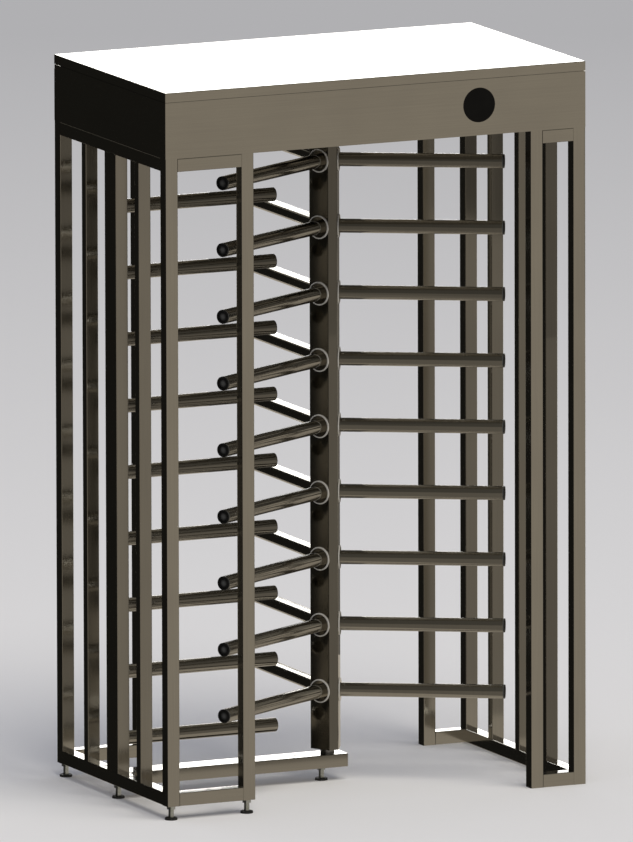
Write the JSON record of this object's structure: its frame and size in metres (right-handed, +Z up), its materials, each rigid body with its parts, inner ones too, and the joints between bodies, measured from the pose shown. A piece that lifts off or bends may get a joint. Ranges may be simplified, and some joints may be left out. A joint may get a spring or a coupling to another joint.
{
  "type": "full-height turnstile",
  "caption": "Full-height turnstile that lets one visitor through at a time and counts them, with a barred rotor, fixed barrier arms, tube side frames and an overhead mechanism header.",
  "frame": {"origin": "on the floor at the middle of the footprint of the two side frames, under the centre foot", "axes": "+Z up, -Y towards the front with the indicator, +X to the right seen from the front"},
  "size_m": [1.38, 0.9394, 2.2],
  "materials": {
    "frame_tube": "satin bead-blasted stainless steel tube",
    "header_sheet": "satin stainless steel sheet",
    "arm_tube": "satin stainless steel round tube",
    "column_steel": "satin stainless steel folded tube",
    "polished_rosette": "polished stainless steel",
    "arm_cap": "black moulded nylon",
    "machined_steel": "turned steel",
    "bearing_steel": "ground bearing steel",
    "hardened_steel": "hardened steel, dark",
    "zinc_steel": "zinc plated steel",
    "spring_steel": "oiled spring wire",
    "solenoid_steel": "black coil and steel bracket",
    "cast_housing": "painted cast iron",
    "damper_aluminium": "turned aluminium",
    "gear_nylon": "natural nylon",
    "black_plastic": "black moulded plastic",
    "indicator_lens": "smoked acrylic",
    "circuit_board": "green circuit board",
    "controller_grey": "grey ABS",
    "supply_sheet": "pressed aluminium",
    "terminal_plastic": "polyamide",
    "foot_rubber": "black rubber",
    "seal_rubber": "black foam rubber",
    "lock_chrome": "nickel plated zinc"
  },
  "bodies": {
    "frame": {"corner_posts": "frame_tube", "jamb_posts": "frame_tube", "side_bars": "frame_tube", "barrier_post": "frame_tube", "bottom_rails": "frame_tube", "top_rails": "frame_tube", "base_beam": "frame_tube", "foot_pads": "foot_rubber", "foot_studs": "zinc_steel", "barrier_arms": "arm_tube", "barrier_arm_caps": "arm_tube", "base_pivot": "machined_steel", "bearing_housing": "cast_housing", "bearing_outer_ring": "bearing_steel", "encoder_body": "black_plastic", "damper_body": "damper_aluminium", "solenoid_bodies": "solenoid_steel", "pivot_stands": "machined_steel", "return_springs": "spring_steel", "header_floor": "header_sheet", "header_bolts": "zinc_steel", "cable_grommet": "foot_rubber", "indicator_lenses": "indicator_lens", "indicator_bezels": "black_plastic", "indicator_boards": "circuit_board", "header_front_panel": "header_sheet", "header_rear_panel": "header_sheet", "header_end_panels": "header_sheet", "lid_landings": "zinc_steel", "lid_seal": "seal_rubber", "hinge_fixed_knuckles": "frame_tube", "hinge_pins": "machined_steel", "controller_case": "controller_grey", "controller_cover": "controller_grey", "control_board": "circuit_board", "power_supply": "supply_sheet", "terminal_block": "terminal_plastic"},
    "rotor": {"rotor_arms": "arm_tube", "rotor_arm_caps": "arm_cap", "arm_rosettes": "polished_rosette", "column_tube": "column_steel", "column_foot": "machined_steel", "rotor_shaft": "machined_steel", "bearing_inner_ring": "bearing_steel", "shaft_collar": "machined_steel", "lock_wheel": "hardened_steel", "index_cam": "hardened_steel", "drive_gear": "gear_nylon"},
    "encoder_wheel": {"encoder_gear": "gear_nylon"},
    "damper_wheel": {"damper_gear": "gear_nylon"},
    "entry_pawl": {"entry_pawl": "hardened_steel"},
    "entry_plunger": {"entry_plunger": "zinc_steel"},
    "exit_pawl": {"exit_pawl": "hardened_steel"},
    "exit_plunger": {"exit_plunger": "zinc_steel"},
    "index_lever": {"index_lever": "hardened_steel"},
    "index_roller": {"index_roller": "gear_nylon"},
    "lid": {"header_lid": "header_sheet", "lid_lock_barrel": "lock_chrome", "hinge_lid_knuckles": "frame_tube"},
    "lid_lock": {"lid_lock_cam": "lock_chrome"}
  },
  "joints": [
    {"name": "rotor_spin", "type": "hinge", "parent": "frame", "child": "rotor", "pos_m": [0.02, 0, 1], "axis": [0, 0, 1], "continuous": true},
    {"name": "encoder_spin", "type": "hinge", "parent": "frame", "child": "encoder_wheel", "pos_m": [0.02, 0.096, 2.1], "axis": [0, 0, 1], "continuous": true},
    {"name": "damper_spin", "type": "hinge", "parent": "frame", "child": "damper_wheel", "pos_m": [0.09354, -0.06171, 2.1], "axis": [0, 0, 1], "continuous": true},
    {"name": "index_lever_swing", "type": "hinge", "parent": "frame", "child": "index_lever", "pos_m": [-0.07, -0.0781, 2.07], "axis": [0, 0, 1], "range_deg": [0, 6]},
    {"name": "index_roller_spin", "type": "hinge", "parent": "index_lever", "child": "index_roller", "pos_m": [0.02, -0.0781, 2.08], "axis": [0, 0, 1], "continuous": true},
    {"name": "entry_pawl_swing", "type": "hinge", "parent": "frame", "child": "entry_pawl", "pos_m": [-0.077, 0.07, 2.06], "axis": [0, 0, 1], "range_deg": [0, 7]},
    {"name": "exit_pawl_swing", "type": "hinge", "parent": "frame", "child": "exit_pawl", "pos_m": [0.117, 0.07, 2.06], "axis": [0, 0, -1], "range_deg": [0, 7]},
    {"name": "entry_plunger_slide", "type": "slide", "parent": "frame", "child": "entry_plunger", "axis": [-1, 0, 0], "range_m": [0, 0.0049]},
    {"name": "exit_plunger_slide", "type": "slide", "parent": "frame", "child": "exit_plunger", "axis": [1, 0, 0], "range_m": [0, 0.0049]},
    {"name": "lid_swing", "type": "hinge", "parent": "frame", "child": "lid", "pos_m": [0, 0.397, 2.165], "axis": [-1, 0, 0], "range_deg": [0, 80]},
    {"name": "lid_lock_turn", "type": "hinge", "parent": "lid", "child": "lid_lock", "pos_m": [0.69, -0.25, 2.1855], "axis": [-1, 0, 0], "range_deg": [0, 90]}
  ],
  "couplings": [
    {"joint": "encoder_spin", "follows": "rotor_spin", "ratio": -3},
    {"joint": "damper_spin", "follows": "rotor_spin", "ratio": -3},
    {"joint": "entry_plunger_slide", "follows": "entry_pawl_swing", "m_per_rad": 0.04},
    {"joint": "exit_plunger_slide", "follows": "exit_pawl_swing", "m_per_rad": 0.04}
  ]
}
